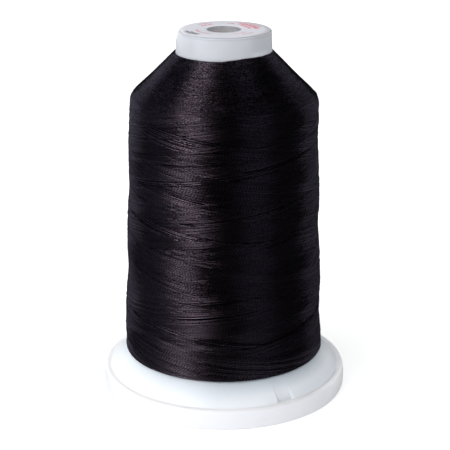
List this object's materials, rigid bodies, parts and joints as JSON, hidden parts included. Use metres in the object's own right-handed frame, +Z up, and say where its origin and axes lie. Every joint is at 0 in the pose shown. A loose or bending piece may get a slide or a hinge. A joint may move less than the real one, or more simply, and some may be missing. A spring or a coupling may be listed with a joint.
{
  "type": "cone of thread",
  "caption": "Upright cone of cross-wound thread on a white plastic spool: capped hollow barrel with a pin hole, conical flange and push-fit base.",
  "frame": {"origin": "centre of the snap base's underside, where the spool's axis meets the surface that it stands on", "axes": "+Z up the spool's axis, towards the cap. -Y faces the viewer of the picture, +X to the viewer's right"},
  "size_m": [0.0768, 0.0768, 0.1128],
  "materials": {
    "white_plastic": "satin white polypropylene, slightly translucent, cool tint",
    "base_plastic": "satin translucent white polypropylene",
    "black_thread": "black filament embroidery thread with a soft purple-brown sheen across its turns",
    "label_paper": "thin printed paper ring, matt"
  },
  "bodies": {
    "root": {"spool_body": "white_plastic", "snap_base": "base_plastic", "thread_winding": "black_thread", "cap_label": "label_paper"}
  },
  "joints": []
}
